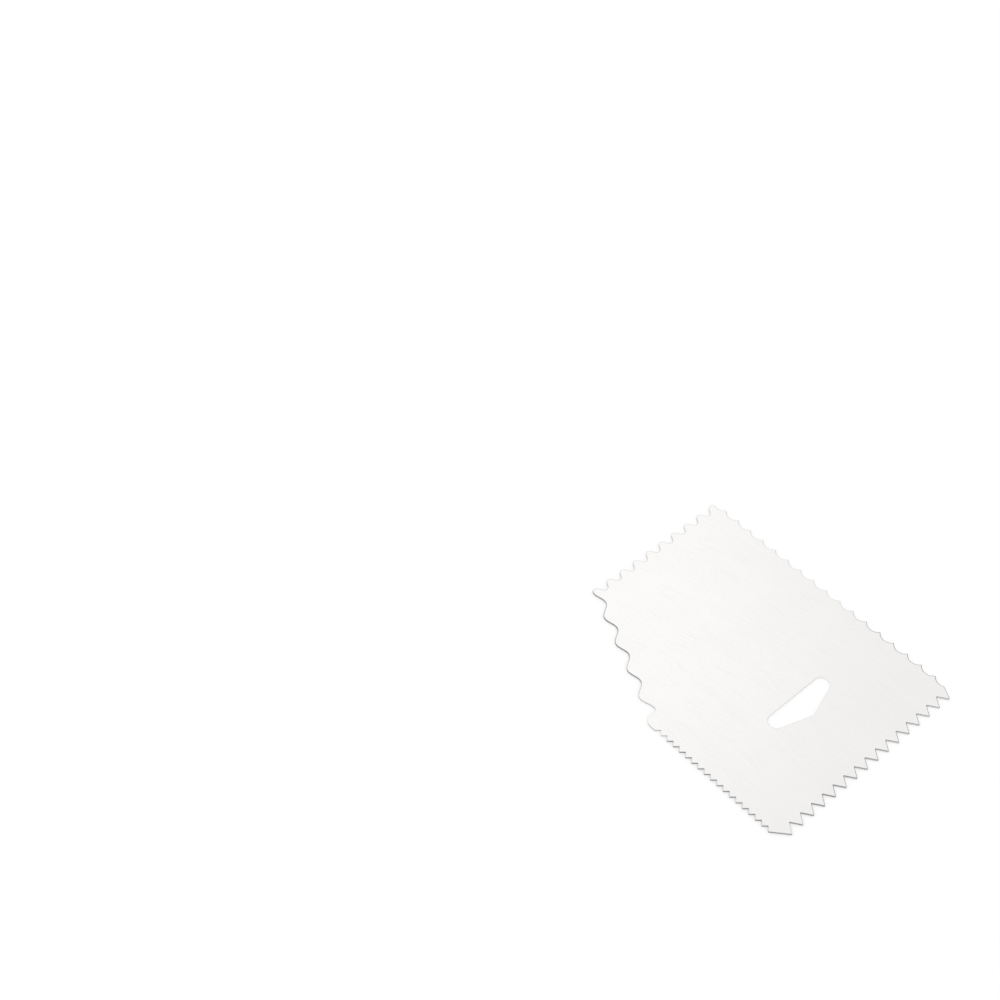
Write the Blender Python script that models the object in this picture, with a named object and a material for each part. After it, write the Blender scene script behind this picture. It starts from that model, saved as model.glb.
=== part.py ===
"""A cake comb: one stainless steel sheet, blanked with a different pattern along each side.

It lies flat with +Z up, and its origin is under the middle of its bounding box. +Y runs from the
coarse teeth to the small wave, and +X from the fine teeth to the scallops. The outline is laid out
from the near left corner of the sheet and walked counter-clockwise as seen from above, so the
steel is always on its left.
"""

import math
from typing import NamedTuple

import bmesh
import bpy
from mathutils import Vector

# The sheet, in metres, to the sharp corners that its teeth and cusps have before they are rounded
PLATE_LENGTH = 0.1101
PLATE_WIDTH = 0.0850
PLATE_THICKNESS = 0.0006
ROLL_WIDTH = 0.00016  # rolled edge round both faces, in from the rim
ROLL_DROP = 0.00005  # how far it falls from the face
FACE_POINT_RADIUS = 0.00003  # what is left of each point and notch inside the rolled edge

# Coarse teeth, along the near side
COARSE_PITCH = 0.00508
COARSE_DEPTH = 0.0036

# Near left corner: a straight cut between the two rows of teeth
LEFT_CUT_RUN = 0.0049
LEFT_CUT_RISE = 0.0054  # at least

# Near right corner: a straight cut from the last coarse tooth up to the scallops
RIGHT_CUT_ANGLE = math.radians(60)
RIGHT_CUT_CLEARANCE = 0.0010  # least gap from the last coarse tooth to the scallops' depth

# Scallops, along the right side
SCALLOP_PITCH = 0.00598
SCALLOP_DEPTH = 0.0018
SCALLOP_START = 0.0053  # far side to the first cusp

# Far right corner, between the first scallop and the small wave
FAR_CORNER_RADIUS = 0.0008
FAR_CORNER_LAND = 0.00085  # straight stretch before the small wave

# Small wave, along the far side
SMALL_WAVE_PITCH = 0.0063
SMALL_WAVE_DEPTH = 0.0028
SMALL_WAVE_FULLNESS = 0.3  # how much broader its crests and notches are than a sine's

# Far left corner, clipped along a slant that carries the big wave
CLIP_ACROSS = 0.0240
CLIP_DOWN = 0.0539
CLIP_TIP_RADIUS = 0.0007
CLIP_TIP_LAND = 0.0005  # straight stretch before the big wave

# Big wave, along the slant; its last notch is longer and deeper than the others
BIG_WAVE_PITCH = 0.0114
BIG_WAVE_DEPTH = 0.00275
LAST_NOTCH_RUN = 0.0060
LAST_NOTCH_DEPTH = 0.0034
LAST_NOTCH_RADIUS = 0.0008

# Round-shouldered land between the big wave and the fine teeth
LAND_LENGTH = 0.0052
LAND_SHOULDER_RADIUS = 0.0033
LAND_END_RADIUS = 0.0009

# Fine teeth, along the left side
FINE_PITCH = 0.00277
FINE_DEPTH = 0.00158

# Finger and hanging slot: a flat triangle with round corners, its apex towards the coarse teeth
SLOT_LENGTH = 0.0275
SLOT_HEIGHT = 0.0092
SLOT_END_RADIUS = 0.0028
SLOT_APEX_RADIUS = 0.0008
SLOT_BASE_HEIGHT = 0.0346  # near side to the slot's base

# How finely curves are drawn
CURVE_ERROR = 0.0000065  # how far a drawn arc may stray from a true one
WAVE_STEPS = 24  # points to one turn of a wave
WAVE_GATHER = 0.4  # how much closer they lie where the wave bends most
ROUNDING_SHARE = 0.95  # how much of a straight the roundings at its ends may use

WELD_DISTANCE = 0.000001
FACE_SLOPE = math.radians(5)  # more than this from level is rim
SHARP_ANGLE = math.radians(16)  # less than the rolled edge's slope, more than the curves' bends

STEEL_COLOUR = (0.82, 0.82, 0.81, 1.0)
STEEL_ROUGHNESS = 0.34


class Corner(NamedTuple):
    """A point of an outline, and the radius that rounds it."""

    point: Vector
    radius: float = 0.0


def heading(angle):
    """A unit step, at an angle counter-clockwise from +X."""
    return Vector((math.cos(angle), math.sin(angle)))


def inward(direction):
    """Square to the direction of walking, into the steel."""
    return Vector((-direction.y, direction.x))


def arc(centre, radius, start, end):
    """Points along an arc, with both its ends."""
    step = 2 * math.acos(1 - min(CURVE_ERROR / radius, 1))
    steps = math.ceil(abs(end - start) / step)
    return [centre + radius * heading(start + (end - start) * i / steps) for i in range(steps + 1)]


def rounded(corners):
    """The outline's points, with an arc in place of each corner that has a radius.

    Where two arcs need more than the straight between them, both shrink.
    """
    reaches = []
    for i, corner in enumerate(corners):
        back = corners[i - 1].point - corner.point
        ahead = corners[(i + 1) % len(corners)].point - corner.point
        reaches.append(corner.radius / math.tan(back.angle(ahead) / 2))

    points = []
    for i, corner in enumerate(corners):
        if corner.radius == 0:
            points.append(corner.point)
            continue
        back = corners[i - 1].point - corner.point
        ahead = corners[(i + 1) % len(corners)].point - corner.point
        half = back.angle(ahead) / 2
        room_back = ROUNDING_SHARE * back.length / (reaches[i - 1] + reaches[i])
        room_ahead = ROUNDING_SHARE * ahead.length / (reaches[i] + reaches[(i + 1) % len(corners)])
        radius = corner.radius * min(1, room_back, room_ahead)
        bisector = (back.normalized() + ahead.normalized()).normalized()
        centre = corner.point + bisector * radius / math.sin(half)
        foot = corner.point + back.normalized() * radius / math.tan(half) - centre
        start = math.atan2(foot.y, foot.x)
        side = math.copysign(1, ahead.cross(back))
        points += arc(centre, radius, start, start + side * (math.pi - 2 * half))
    return points


def teeth(first_tip, direction, pitch, depth, count):
    """A row of V teeth after its first tip: a notch and a tip to each pitch."""
    radius = ROLL_WIDTH + FACE_POINT_RADIUS
    corners = []
    for i in range(count):
        notch = first_tip + direction * pitch * (i + 0.5) + inward(direction) * depth
        tip = first_tip + direction * pitch * (i + 1)
        corners += [Corner(notch, radius), Corner(tip, radius)]
    return corners


def wave(first_crest, direction, pitch, depth, turns, fullness=0.0):
    """A wave after its first crest. Half a turn takes it from a crest to a notch."""
    corners = []
    for i in range(1, round(turns * WAVE_STEPS) + 1):
        turn = i / WAVE_STEPS
        turn -= WAVE_GATHER * math.sin(2 * math.tau * turn) / (2 * math.tau)
        dip = depth * (1 - math.cos(math.tau * turn)) / 2
        run = pitch * (turn + fullness * math.sin(2 * math.tau * turn) / (2 * math.tau))
        corners.append(Corner(first_crest + direction * run + inward(direction) * dip))
    return corners


def coarse_row():
    """The first tip of the coarse teeth, and how many pitches follow it."""
    run = PLATE_WIDTH - SCALLOP_DEPTH - RIGHT_CUT_CLEARANCE - LEFT_CUT_RUN
    return Vector((LEFT_CUT_RUN, 0)), int(run / COARSE_PITCH)


def near_side():
    """The coarse teeth, from the left cut to the right cut."""
    first_tip, count = coarse_row()
    start = Corner(first_tip, ROLL_WIDTH + FACE_POINT_RADIUS)
    return [start] + teeth(first_tip, heading(0), COARSE_PITCH, COARSE_DEPTH, count)


def first_meeting(foot, direction, centres, radius):
    """How far a line runs before it enters one of a row of circles, and which circle that is."""
    meetings = []
    for number, centre in enumerate(centres):
        along = (centre - foot).dot(direction)
        aside = (centre - foot).cross(direction)
        if abs(aside) < radius:
            meetings.append((along - math.sqrt(radius**2 - aside**2), number))
    return min(meetings)


def right_side(cut_foot):
    """The right cut, the scallops upward from it and the far right corner."""
    point_radius = ROLL_WIDTH + FACE_POINT_RADIUS
    half_pitch = SCALLOP_PITCH / 2
    radius = (half_pitch**2 + SCALLOP_DEPTH**2) / (2 * SCALLOP_DEPTH)
    sweep = 2 * math.atan(SCALLOP_DEPTH / half_pitch)  # from a scallop's depth to its cusp

    # The scallops are counted from the part one above the first cusp, down past the near side
    centre_x = PLATE_WIDTH - SCALLOP_DEPTH + radius
    top_centre_y = PLATE_LENGTH - SCALLOP_START + half_pitch
    count = math.ceil(top_centre_y / SCALLOP_PITCH) + 1
    centres = [Vector((centre_x, top_centre_y - i * SCALLOP_PITCH)) for i in range(count)]

    # The cut runs up to the scallop that it meets first
    cut = heading(RIGHT_CUT_ANGLE)
    cut_length, lowest = first_meeting(cut_foot, cut, centres, radius)
    cut_head = cut_foot + cut * cut_length
    corners = [Corner(cut_head, point_radius)]
    spoke = cut_head - centres[lowest]
    start = math.atan2(spoke.y, spoke.x) % math.tau

    # Each scallop ends in the cusp at its top
    for centre in centres[lowest:0:-1]:
        points = arc(centre, radius, start, math.pi - sweep)
        corners += [Corner(point) for point in points[1:-1]]
        corners.append(Corner(points[-1], point_radius))
        start = math.pi + sweep

    # The part scallop at the top runs into the round far corner
    drop = PLATE_LENGTH - FAR_CORNER_RADIUS - top_centre_y
    across = math.sqrt((radius + FAR_CORNER_RADIUS) ** 2 - drop**2)
    corner_centre = centres[0] + Vector((-across, drop))
    bearing = math.atan2(drop, -across) % math.tau
    points = arc(centres[0], radius, start, bearing)[1:]
    points += arc(corner_centre, FAR_CORNER_RADIUS, bearing - math.pi, math.pi / 2)[1:]
    return corners + [Corner(point) for point in points]


def far_side(corner_end):
    """The small wave, from the far right corner to the tip where the slant begins."""
    direction = heading(math.pi)
    clip_tip = Vector((CLIP_ACROSS, PLATE_LENGTH))
    first_crest = corner_end + direction * FAR_CORNER_LAND
    run = first_crest.x - clip_tip.x - CLIP_TIP_LAND
    count = int(run / SMALL_WAVE_PITCH)
    pitch, depth, fullness = SMALL_WAVE_PITCH, SMALL_WAVE_DEPTH, SMALL_WAVE_FULLNESS
    corners = [Corner(first_crest)]
    corners += wave(first_crest, direction, pitch, depth, count, fullness)
    corners.append(Corner(clip_tip, CLIP_TIP_RADIUS))
    return corners


def slanted_side(clip_tip):
    """The big wave down the slant, and the last notch, which turns to face the left side."""
    slant = Vector((-CLIP_ACROSS, -CLIP_DOWN))
    direction = slant.normalized()
    first_crest = clip_tip + direction * CLIP_TIP_LAND
    count = int((slant.length - CLIP_TIP_LAND - LAST_NOTCH_RUN) / BIG_WAVE_PITCH)
    corners = [Corner(first_crest)]
    corners += wave(first_crest, direction, BIG_WAVE_PITCH, BIG_WAVE_DEPTH, count)
    last_crest = corners[-1].point
    corners += wave(last_crest, direction, 2 * LAST_NOTCH_RUN, LAST_NOTCH_DEPTH, 0.5)
    turn = math.atan2(CLIP_DOWN, CLIP_ACROSS)
    notch_end = corners[-1].point + direction * LAST_NOTCH_RADIUS * math.tan(turn / 2)
    corners.append(Corner(notch_end, LAST_NOTCH_RADIUS))
    return corners


def left_side(land_y):
    """The round-shouldered land, then the fine teeth down to the left cut."""
    shoulder = Vector((0, land_y))
    land_end = shoulder + heading(-math.pi / 2) * LAND_LENGTH
    count = int((land_end.y - LEFT_CUT_RISE) / FINE_PITCH)
    corners = [Corner(shoulder, LAND_SHOULDER_RADIUS), Corner(land_end, LAND_END_RADIUS)]
    return corners + teeth(land_end, heading(-math.pi / 2), FINE_PITCH, FINE_DEPTH, count)


def comb_outline():
    """The comb's outline, from the first coarse tooth round to the last fine one."""
    near = near_side()
    right = right_side(near[-1].point)
    far = far_side(right[-1].point)
    slanted = slanted_side(far[-1].point)
    left = left_side(slanted[-1].point.y)
    return rounded(near + right + far + slanted + left)


def slot_outline():
    """The slot, over the middle of the coarse teeth. Its flanks touch the ends and the apex."""
    first_tip, count = coarse_row()
    middle = first_tip.x + count * COARSE_PITCH / 2
    half_span = SLOT_LENGTH / 2 - SLOT_END_RADIUS
    left_end = Vector((middle - half_span, SLOT_BASE_HEIGHT - SLOT_END_RADIUS))
    right_end = left_end + Vector((2 * half_span, 0))
    apex = Vector((middle, SLOT_BASE_HEIGHT - SLOT_HEIGHT + SLOT_APEX_RADIUS))
    span = apex - left_end
    taper = math.asin((SLOT_END_RADIUS - SLOT_APEX_RADIUS) / span.length)
    flank = math.atan2(span.y, span.x) + taper
    points = arc(left_end, SLOT_END_RADIUS, math.pi / 2, flank + 1.5 * math.pi)
    points += arc(apex, SLOT_APEX_RADIUS, flank - math.pi / 2, -flank - math.pi / 2)
    points += arc(right_end, SLOT_END_RADIUS, -flank - math.pi / 2, math.pi / 2)
    return points


def sheet_curve(loops):
    """A flat filled curve through closed loops of points, thick and with 45 degree edges.

    It is as much taller than the sheet as its edges are steeper than the rolled edge.
    """
    curve = bpy.data.curves.new("sheet_outline", "CURVE")
    curve.dimensions = "2D"
    curve.fill_mode = "BOTH"
    curve.extrude = (PLATE_THICKNESS / 2 - ROLL_DROP) * ROLL_WIDTH / ROLL_DROP
    curve.bevel_depth = ROLL_WIDTH
    curve.bevel_resolution = 0
    curve.offset = -ROLL_WIDTH
    for points in loops:
        spline = curve.splines.new("POLY")
        spline.points.add(len(points) - 1)
        for place, point in zip(spline.points, points):
            place.co = (point.x, point.y, 0, 1)
        spline.use_cyclic_u = True
    return curve


def closed_mesh(name, curve):
    """The curve's solid as a mesh, squeezed to the sheet's thickness and its faces welded on."""
    guide = bpy.data.objects.new(name, curve)
    bpy.context.scene.collection.objects.link(guide)
    evaluated = guide.evaluated_get(bpy.context.evaluated_depsgraph_get())
    mesh = bpy.data.meshes.new_from_object(evaluated)
    bpy.data.objects.remove(guide)
    shape = bmesh.new()
    shape.from_mesh(mesh)
    bmesh.ops.scale(shape, vec=(1, 1, ROLL_DROP / ROLL_WIDTH), verts=shape.verts)
    bmesh.ops.remove_doubles(shape, verts=shape.verts, dist=WELD_DISTANCE)
    bmesh.ops.recalc_face_normals(shape, faces=shape.faces)
    level = [face for face in shape.faces if abs(face.normal.z) > math.cos(FACE_SLOPE)]
    bmesh.ops.beautify_fill(shape, faces=level, edges=shape.edges, method="AREA")
    shape.to_mesh(mesh)
    shape.free()
    mesh.shade_smooth()
    mesh.set_sharp_from_angle(angle=SHARP_ANGLE)
    mesh.name = name
    return mesh


def steel():
    """Satin stainless steel, rolled and not polished."""
    material = bpy.data.materials.new("stainless_steel")
    material.use_nodes = True
    material.diffuse_color = STEEL_COLOUR
    shader = material.node_tree.nodes["Principled BSDF"]
    shader.inputs["Base Color"].default_value = STEEL_COLOUR
    shader.inputs["Metallic"].default_value = 1.0
    shader.inputs["Roughness"].default_value = STEEL_ROUGHNESS
    return material


def comb_plate(collection):
    """The comb itself, lying on the ground with the middle of its box over the origin."""
    outline = comb_outline()
    x_middle = (min(p.x for p in outline) + max(p.x for p in outline)) / 2
    y_middle = (min(p.y for p in outline) + max(p.y for p in outline)) / 2
    middle = Vector((x_middle, y_middle))
    loops = [[point - middle for point in points] for points in (outline, slot_outline())]
    mesh = closed_mesh("comb_plate", sheet_curve(loops))
    mesh.materials.clear()
    mesh.materials.append(steel())
    plate = bpy.data.objects.new("comb_plate", mesh)
    plate.location.z = PLATE_THICKNESS / 2
    collection.objects.link(plate)
    return plate


def main():
    for leftover in list(bpy.data.objects):
        bpy.data.objects.remove(leftover)
    collection = bpy.data.collections.new("cake_comb")
    bpy.context.scene.collection.children.link(collection)
    comb_plate(collection)


main()
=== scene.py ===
"""Looks of the cake comb: satin rolled steel with a sheared rim, on a white floor in soft studio light.

Units are metres. The comb's frame has +Z square to the sheet, +Y from the coarse teeth to the small wave
and +X from the fine teeth to the scallops.
"""

import math

import bpy
from mathutils import Euler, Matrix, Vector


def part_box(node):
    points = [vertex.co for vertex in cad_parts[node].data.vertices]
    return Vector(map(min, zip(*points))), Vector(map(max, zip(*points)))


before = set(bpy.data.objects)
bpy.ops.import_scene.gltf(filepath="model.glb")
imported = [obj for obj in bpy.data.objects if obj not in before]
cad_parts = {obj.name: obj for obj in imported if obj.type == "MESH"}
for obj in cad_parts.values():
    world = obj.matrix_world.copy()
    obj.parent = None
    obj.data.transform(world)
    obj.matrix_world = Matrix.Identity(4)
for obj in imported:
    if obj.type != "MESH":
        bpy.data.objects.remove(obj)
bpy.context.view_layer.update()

PLATE = "comb_plate"
MM = 0.001

# The camera, solved from the photograph's repeated teeth.
CAMERA_PLACE = (-0.295595, -0.207620, 0.489885)
CAMERA_TURN_DEGREES = (40.7458, -0.2005, -41.5125)
CAMERA_LENS_MM = 64.8
CAMERA_SENSOR_MM = 36.0
CAMERA_NEAREST = 0.01
CAMERA_FARTHEST = 20.0

# The size of the normal's Z over which a face gives way to the rolled edge, and the rolled edge to the rim.
FACE_ENDS = (0.990, 0.965)
RIM_BEGINS = (0.55, 0.35)

# The steel's two faces. Each grain is a width and a length, and runs along Y.
FACE_COLOUR = (0.858, 0.849, 0.834)
FACE_ROUGHNESS = 0.20
FINE_GRAIN = (0.09 * MM, 7.0 * MM)
MIDDLE_GRAIN = (0.34 * MM, 26.0 * MM)
BROAD_GRAIN = (2.2 * MM, 90.0 * MM)
CLOUD_SIZE = 24.0 * MM
HAZE_SIZE = (7.0 * MM, 14.0 * MM, 7.0 * MM)
HAZE_TURN_DEGREES = 30.0

# How far the grain and the clouds lighten and darken the faces, and how far the roughness varies.
FINE_TONE = 0.010
MIDDLE_TONE = 0.008
BROAD_TONE = 0.008
CLOUD_TONE = 0.016
MIDDLE_ROUGHENING = 0.10
HAZE_ROUGHENING = 0.12

# Hairline scratches: each set's turn across the grain, width, length and the noise level where it starts.
SCRATCH_SETS = (
    (-17.0, 0.16 * MM, 14.0 * MM, 0.715),
    (9.0, 0.20 * MM, 22.0 * MM, 0.720),
    (48.0, 0.15 * MM, 8.0 * MM, 0.745),
)
SCRATCH_SOFTNESS = 0.06
SCRATCH_BRIGHTNESS = 0.972

# The bump: the fine grain's height, and the other layers' heights as multiples of it.
GRAIN_HEIGHT = 0.0032 * MM
MIDDLE_HEIGHT = 1.2
SCRATCH_DEPTH = 1.5
STRIATION_HEIGHT = 2.0
TEAR_HEIGHT = 2.5

# The sheared rim: burnished under the upper edge and torn below it. Painted light brightens it across the
# comb, from the fine teeth to the scallops, and painted shade makes it duller still along the fine teeth.
TORN_COLOUR = (0.34, 0.34, 0.343)
TORN_ROUGHNESS = 0.46
BURNISHED_COLOUR = (0.42, 0.42, 0.42)
BURNISHED_ROUGHNESS = 0.30
BURNISHED_SHARE = 0.38
BURNISHED_FADE = 0.10
RIM_PAINTED_LIGHT_X = (-45.0 * MM, 45.0 * MM)
RIM_PAINTED_LIGHT = 1.95
FINE_TEETH_X = (-43.0 * MM, -18.0 * MM)
FINE_TEETH_PAINTED_SHADE = 0.75
STRIATION_SIZE = (0.055 * MM, 0.055 * MM, 0.9 * MM)
STRIATION_TONE = 0.22
TEAR_SIZE = 0.09 * MM
TEAR_TONE = 0.18

# The rolled edge between face and rim, its colour all painted shade. It is darkest along the near scallops,
# a little paler at the coarse teeth, and palest at the fine teeth and on the far side. Each pair of places
# on X or Y is where one colour gives way to another.
ROLL_PAINTED_SHADE = (0.08, 0.08, 0.082)
ROLL_ROUGHNESS = 0.32
COARSE_ROLL_PAINTED_SHADE = (0.22, 0.22, 0.222)
COARSE_TEETH_Y = (-51.0 * MM, -47.5 * MM)
FINE_ROLL_PAINTED_SHADE = (0.64, 0.64, 0.643)
FAR_ROLL_PAINTED_SHADE = (0.60, 0.597, 0.592)
FAR_SIDE_Y = (-22.0 * MM, -5.0 * MM)
FAR_SIDE_X = (-24.0 * MM, -12.0 * MM)

# Painted light on the edges that stay brighter: the slot's and the land's.
SLOT_MIDDLE = (0.56 * MM, -25.1 * MM, 0.3 * MM)
SLOT_REACH = 18.0 * MM
SLOT_ROLL_PAINTED_LIGHT = (0.70, 0.695, 0.69)
SLOT_RIM_PAINTED_LIGHT = (0.94, 0.935, 0.925)
LAND_MIDDLE = (-39.0 * MM, 4.5 * MM, 0.3 * MM)
LAND_REACH = 8.0 * MM
LAND_ROLL_PAINTED_LIGHT = (0.79, 0.785, 0.777)
LAND_RIM_PAINTED_LIGHT = (0.58, 0.58, 0.577)
REACH_FADE = 2.0 * MM

# The floor, the world's light and what is seen of it.
WHITE = (1.0, 1.0, 1.0, 1.0)
FLOOR_SIZE = 6.0
FLOOR_GAP = 0.03 * MM
FLOOR_COLOUR = (0.80, 0.80, 0.80, 1.0)
FLOOR_GLOW = 0.30
BACKGROUND_LEVEL = 1.0
WORLD_LEVEL = 0.85

# The lamps: place, width, height and watts.
BACK_LAMP = ((0.443, 1.389, 1.37), 1.79, 1.51, 1.26)
SIDE_LAMP = ((-1.3, 0.5, 1.5), 2.1, 2.1, 1.6)


def node(tree, kind, **settings):
    """A new shader node of that kind, with its settings."""
    made = tree.nodes.new("ShaderNode" + kind)
    for name, value in settings.items():
        setattr(made, name, value)
    return made


def feed(tree, socket, value):
    """Gives a socket its value: another node's output, or a constant."""
    if isinstance(value, bpy.types.NodeSocket):
        tree.links.new(value, socket)
    else:
        socket.default_value = value


def feed_colour(tree, socket, colour):
    """Gives a colour socket its value: another node's output, or a constant of three numbers."""
    feed(tree, socket, colour if isinstance(colour, bpy.types.NodeSocket) else (*colour, 1.0))


def calculated(tree, operation, first, second=0.0):
    """The result of one sum, product or the like of two values."""
    made = node(tree, "Math", operation=operation)
    feed(tree, made.inputs[0], first)
    feed(tree, made.inputs[1], second)
    return made.outputs[0]


def product(tree, *factors):
    """All the factors multiplied together."""
    total, *others = factors
    for factor in others:
        total = calculated(tree, "MULTIPLY", total, factor)
    return total


def weighted_sum(tree, *terms):
    """The sum of some values, each times its weight."""
    total, *others = [calculated(tree, "MULTIPLY", value, weight) for value, weight in terms]
    for term in others:
        total = calculated(tree, "ADD", total, term)
    return total


def ranged(tree, value, low, high, low_result=0.0, high_result=1.0):
    """The value carried smoothly from one range to another, and held at its ends."""
    made = node(tree, "MapRange", interpolation_type="SMOOTHSTEP")
    feed(tree, made.inputs["Value"], value)
    made.inputs["From Min"].default_value = low
    made.inputs["From Max"].default_value = high
    made.inputs["To Min"].default_value = low_result
    made.inputs["To Max"].default_value = high_result
    return made.outputs["Result"]


def mixed(tree, share, first, second):
    """The colour that goes from first to second as the share goes from 0 to 1."""
    made = node(tree, "Mix", data_type="RGBA")
    feed(tree, made.inputs[0], share)
    feed_colour(tree, made.inputs[6], first)
    feed_colour(tree, made.inputs[7], second)
    return made.outputs[2]


def blended(tree, share, first, second):
    """The number that goes from first to second as the share goes from 0 to 1."""
    made = node(tree, "Mix", data_type="FLOAT")
    feed(tree, made.inputs[0], share)
    feed(tree, made.inputs[2], first)
    feed(tree, made.inputs[3], second)
    return made.outputs[0]


def toned(tree, colour, factor):
    """The colour made darker or lighter by a factor."""
    made = node(tree, "VectorMath", operation="SCALE")
    feed(tree, made.inputs[0], colour)
    feed(tree, made.inputs["Scale"], factor)
    return made.outputs[0]


def split(tree, vector):
    """The X, Y and Z of a vector."""
    made = node(tree, "SeparateXYZ")
    feed(tree, made.inputs[0], vector)
    return made.outputs["X"], made.outputs["Y"], made.outputs["Z"]


def noise(tree, place, size, turn_degrees=0.0, detail=2.0, rough=0.5):
    """Noise whose cells measure size along X, Y and Z, turned about Z."""
    turned = node(tree, "Mapping")
    feed(tree, turned.inputs["Vector"], place)
    turned.inputs["Rotation"].default_value = (0.0, 0.0, math.radians(turn_degrees))
    scaled = node(tree, "Mapping")
    feed(tree, scaled.inputs["Vector"], turned.outputs["Vector"])
    scaled.inputs["Scale"].default_value = tuple(1.0 / length for length in size)
    made = node(tree, "TexNoise")
    feed(tree, made.inputs["Vector"], scaled.outputs["Vector"])
    made.inputs["Scale"].default_value = 1.0
    made.inputs["Detail"].default_value = detail
    made.inputs["Roughness"].default_value = rough
    return made.outputs["Fac"]


def centred(tree, value, strength):
    """A noise value as a factor about 1, this far up and down."""
    lifted = calculated(tree, "SUBTRACT", value, 0.5)
    spread = calculated(tree, "MULTIPLY", lifted, 2.0 * strength)
    return calculated(tree, "ADD", spread, 1.0)


def grain(tree, place):
    """The rolled grain along Y as three noises, from the finest to the broadest."""
    return [
        noise(tree, place, (width, length, width))
        for width, length in (FINE_GRAIN, MIDDLE_GRAIN, BROAD_GRAIN)
    ]


def scratches(tree, place):
    """A mask of sparse hairlines, 1 in a scratch."""
    total = None
    for turn, width, length, threshold in SCRATCH_SETS:
        streaks = noise(tree, place, (width, length, width), turn, detail=0.0)
        lines = ranged(tree, streaks, threshold, threshold + SCRATCH_SOFTNESS)
        total = lines if total is None else calculated(tree, "MAXIMUM", total, lines)
    return total


def within(tree, place, middle, reach):
    """A mask that is 1 within reach of a point and fades out just past it."""
    away = node(tree, "VectorMath", operation="DISTANCE")
    feed(tree, away.inputs[0], place)
    away.inputs[1].default_value = middle
    return ranged(tree, away.outputs["Value"], reach + REACH_FADE, reach)


def rim_steel_and_painted_light(tree, across, burnished, painted_light_at_land, painted_light_at_slot):
    """The rim's colour without its streaks, from the place across the comb and the masks: painted light and
    shade across the comb, and painted light at the slot and the land.
    """
    # Painted light across the comb, and painted shade along the fine teeth.
    painted_light = ranged(tree, across, *RIM_PAINTED_LIGHT_X, 1.0, RIM_PAINTED_LIGHT)
    painted_shade = ranged(tree, across, *FINE_TEETH_X, FINE_TEETH_PAINTED_SHADE, 1.0)
    sheared = mixed(tree, burnished, TORN_COLOUR, BURNISHED_COLOUR)
    colour = toned(tree, sheared, product(tree, painted_light, painted_shade))
    # Painted light on the rim at the land and the slot.
    colour = mixed(tree, painted_light_at_land, colour, LAND_RIM_PAINTED_LIGHT)
    return mixed(tree, painted_light_at_slot, colour, SLOT_RIM_PAINTED_LIGHT)


def rolled_edge_painted_shade(tree, across, along, painted_light_at_land, painted_light_at_slot):
    """The rolled edge's painted shade, from the place across and along the comb and the masks, with painted
    light at the slot and the land.
    """
    past_coarse_teeth = ranged(tree, along, *COARSE_TEETH_Y)
    past_fine_teeth = ranged(tree, across, *FINE_TEETH_X)
    far = product(tree, ranged(tree, along, *FAR_SIDE_Y), ranged(tree, across, *FAR_SIDE_X))
    # Painted shade along the rolled edge, palest at the fine teeth and on the far side.
    colour = mixed(tree, past_coarse_teeth, COARSE_ROLL_PAINTED_SHADE, ROLL_PAINTED_SHADE)
    colour = mixed(tree, past_fine_teeth, FINE_ROLL_PAINTED_SHADE, colour)
    colour = mixed(tree, far, colour, FAR_ROLL_PAINTED_SHADE)
    colour = mixed(tree, painted_light_at_land, colour, LAND_ROLL_PAINTED_LIGHT)
    return mixed(tree, painted_light_at_slot, colour, SLOT_ROLL_PAINTED_LIGHT)


def emptied_tree(owner):
    """The node tree of a new material or world, with nothing in it."""
    owner.use_nodes = True
    owner.node_tree.nodes.clear()
    return owner.node_tree


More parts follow.
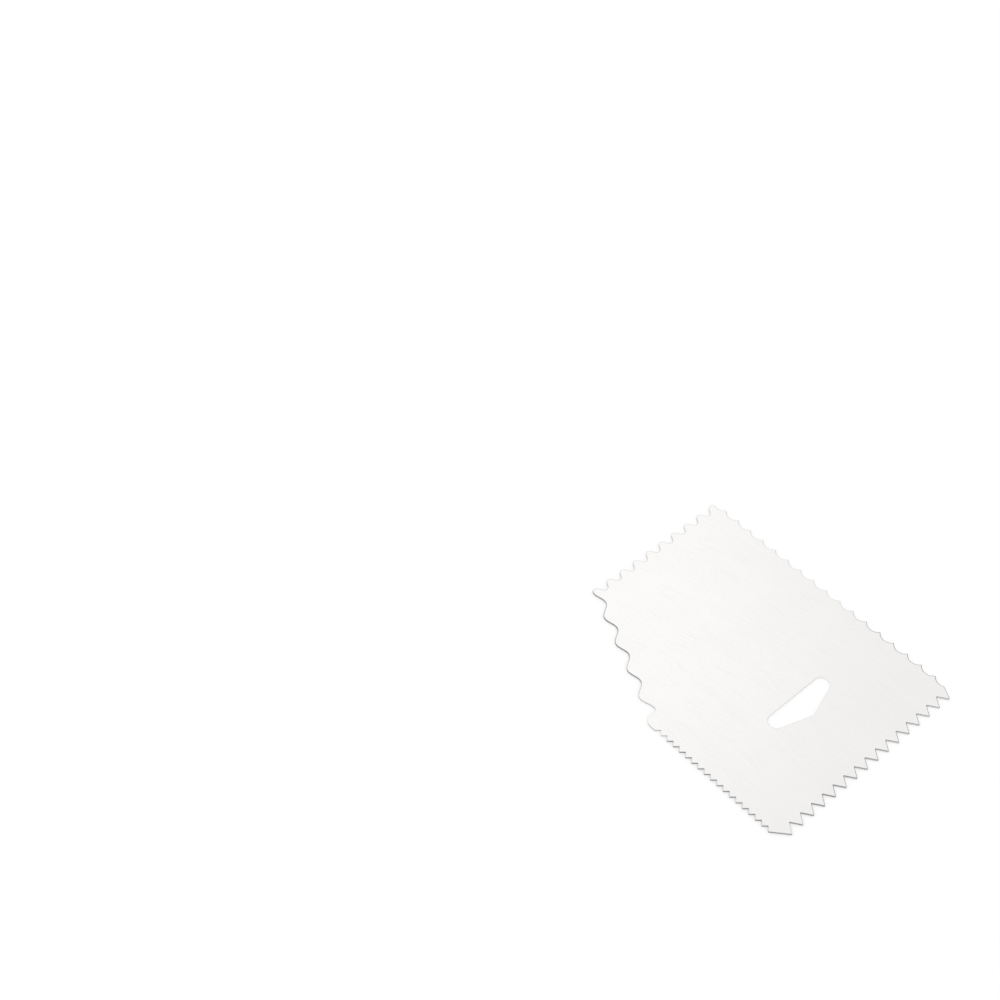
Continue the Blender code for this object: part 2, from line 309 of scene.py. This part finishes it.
def steel_material():
    """Satin steel: fine rolled grain on the faces, a rolled edge painted dark as shade, and a sheared rim
    with painted light and shade.
    """
    material = bpy.data.materials.new("satin_rolled_steel")
    tree = emptied_tree(material)

    coordinates = node(tree, "TexCoord")
    place = coordinates.outputs["Object"]
    across, along, above = split(tree, place)
    upright = calculated(tree, "ABSOLUTE", split(tree, coordinates.outputs["Normal"])[2])
    rim = ranged(tree, upright, *RIM_BEGINS)
    edge = ranged(tree, upright, *FACE_ENDS)
    # Masks of the painted light at the slot and the land.
    painted_light_at_slot = within(tree, place, SLOT_MIDDLE, SLOT_REACH)
    painted_light_at_land = within(tree, place, LAND_MIDDLE, LAND_REACH)
    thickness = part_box(PLATE)[1].z
    burnish_starts = thickness * (1.0 - BURNISHED_SHARE)
    burnished = ranged(tree, above, burnish_starts, burnish_starts + thickness * BURNISHED_FADE)

    fine, middle, broad = grain(tree, place)
    cloud = noise(tree, place, (CLOUD_SIZE, CLOUD_SIZE, CLOUD_SIZE))
    haze = noise(tree, place, HAZE_SIZE, HAZE_TURN_DEGREES, detail=4.0, rough=0.6)
    hairlines = scratches(tree, place)
    striation = noise(tree, place, STRIATION_SIZE)
    tear = noise(tree, place, (TEAR_SIZE, TEAR_SIZE, TEAR_SIZE), detail=3.0, rough=0.65)

    face_tone = product(
        tree,
        centred(tree, fine, FINE_TONE),
        centred(tree, middle, MIDDLE_TONE),
        centred(tree, broad, BROAD_TONE),
        centred(tree, cloud, CLOUD_TONE),
        ranged(tree, hairlines, 0.0, 1.0, 1.0, SCRATCH_BRIGHTNESS),
    )
    face_colour = toned(tree, FACE_COLOUR, face_tone)
    rim_tone = product(tree, centred(tree, striation, STRIATION_TONE), centred(tree, tear, TEAR_TONE))
    rim_colour = toned(tree, rim_steel_and_painted_light(tree, across, burnished, painted_light_at_land, painted_light_at_slot), rim_tone)
    # The rolled edge's painted shade.
    roll_painted_shade = rolled_edge_painted_shade(tree, across, along, painted_light_at_land, painted_light_at_slot)
    colour = mixed(tree, edge, face_colour, mixed(tree, rim, roll_painted_shade, rim_colour))

    face_rough = product(
        tree,
        FACE_ROUGHNESS,
        centred(tree, middle, MIDDLE_ROUGHENING),
        centred(tree, haze, HAZE_ROUGHENING),
    )
    rim_rough = blended(tree, burnished, TORN_ROUGHNESS, BURNISHED_ROUGHNESS)
    edge_rough = blended(tree, rim, ROLL_ROUGHNESS, rim_rough)

    face_height = weighted_sum(tree, (fine, 1.0), (middle, MIDDLE_HEIGHT), (hairlines, -SCRATCH_DEPTH))
    rim_height = weighted_sum(tree, (striation, STRIATION_HEIGHT), (tear, TEAR_HEIGHT))
    bump = node(tree, "Bump")
    feed(tree, bump.inputs["Height"], blended(tree, rim, face_height, rim_height))
    bump.inputs["Distance"].default_value = GRAIN_HEIGHT
    bump.inputs["Strength"].default_value = 1.0

    shader = node(tree, "BsdfPrincipled")
    feed(tree, shader.inputs["Base Color"], colour)
    feed(tree, shader.inputs["Roughness"], blended(tree, edge, face_rough, edge_rough))
    feed(tree, shader.inputs["Normal"], bump.outputs["Normal"])
    shader.inputs["Metallic"].default_value = 1.0
    output = node(tree, "OutputMaterial")
    feed(tree, output.inputs["Surface"], shader.outputs[0])
    return material


def seen_directly(tree):
    """1 for camera, glossy and transmission rays, which show the white background, and 0 for the rest."""
    path = node(tree, "LightPath")
    shown = calculated(tree, "MAXIMUM", path.outputs["Is Camera Ray"], path.outputs["Is Glossy Ray"])
    return calculated(tree, "MAXIMUM", shown, path.outputs["Is Transmission Ray"])


def floor_material():
    """A matt white floor: lit and shadowed as any surface, and lifted to plain white where it is seen."""
    material = bpy.data.materials.new("white_floor")
    tree = emptied_tree(material)
    matt = node(tree, "BsdfDiffuse")
    matt.inputs["Color"].default_value = FLOOR_COLOUR
    glow = node(tree, "Emission")
    feed(tree, glow.inputs["Strength"], product(tree, seen_directly(tree), FLOOR_GLOW))
    together = node(tree, "AddShader")
    feed(tree, together.inputs[0], matt.outputs[0])
    feed(tree, together.inputs[1], glow.outputs[0])
    output = node(tree, "OutputMaterial")
    feed(tree, output.inputs["Surface"], together.outputs[0])
    return material


def white_floor():
    """The floor that the comb lies on, a hair below it."""
    bpy.ops.mesh.primitive_plane_add(size=FLOOR_SIZE, location=(0.0, 0.0, -FLOOR_GAP))
    floor = bpy.context.object
    floor.name = "floor"
    floor.data.materials.append(floor_material())


def soft_lamp(name, place, width, height, watts):
    """An area lamp at a place, turned to the comb."""
    lamp = bpy.data.lights.new(name, "AREA")
    lamp.shape = "RECTANGLE"
    lamp.size = width
    lamp.size_y = height
    lamp.energy = watts
    holder = bpy.data.objects.new(name, lamp)
    holder.location = place
    holder.rotation_euler = (-holder.location).to_track_quat("-Z", "Y").to_euler()
    bpy.context.scene.collection.objects.link(holder)


def studio_light():
    """A pale even world, a large soft lamp behind the comb and a fainter, larger one at its left."""
    world = bpy.data.worlds.new("studio")
    tree = emptied_tree(world)
    background = node(tree, "Background")
    background.inputs["Color"].default_value = WHITE
    level = blended(tree, seen_directly(tree), WORLD_LEVEL, BACKGROUND_LEVEL)
    feed(tree, background.inputs["Strength"], level)
    output = node(tree, "OutputWorld")
    feed(tree, output.inputs["Surface"], background.outputs[0])
    bpy.context.scene.world = world
    soft_lamp("back_lamp", *BACK_LAMP)
    soft_lamp("side_lamp", *SIDE_LAMP)


def photo_camera():
    """The camera at the photograph's place and angle."""
    data = bpy.data.cameras.new("photo_camera")
    data.lens = CAMERA_LENS_MM
    data.sensor_width = CAMERA_SENSOR_MM
    data.sensor_fit = "HORIZONTAL"
    data.clip_start = CAMERA_NEAREST
    data.clip_end = CAMERA_FARTHEST
    camera = bpy.data.objects.new("photo_camera", data)
    camera.location = CAMERA_PLACE
    camera.rotation_euler = Euler([math.radians(turn) for turn in CAMERA_TURN_DEGREES])
    bpy.context.scene.collection.objects.link(camera)
    bpy.context.scene.camera = camera


def dress_plate():
    """Gives the plate its steel."""
    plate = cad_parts[PLATE]
    steel = steel_material()
    for material_slot in plate.material_slots:
        material_slot.material = steel


bpy.context.scene.view_settings.view_transform = "Standard"
dress_plate()
white_floor()
studio_light()
photo_camera()
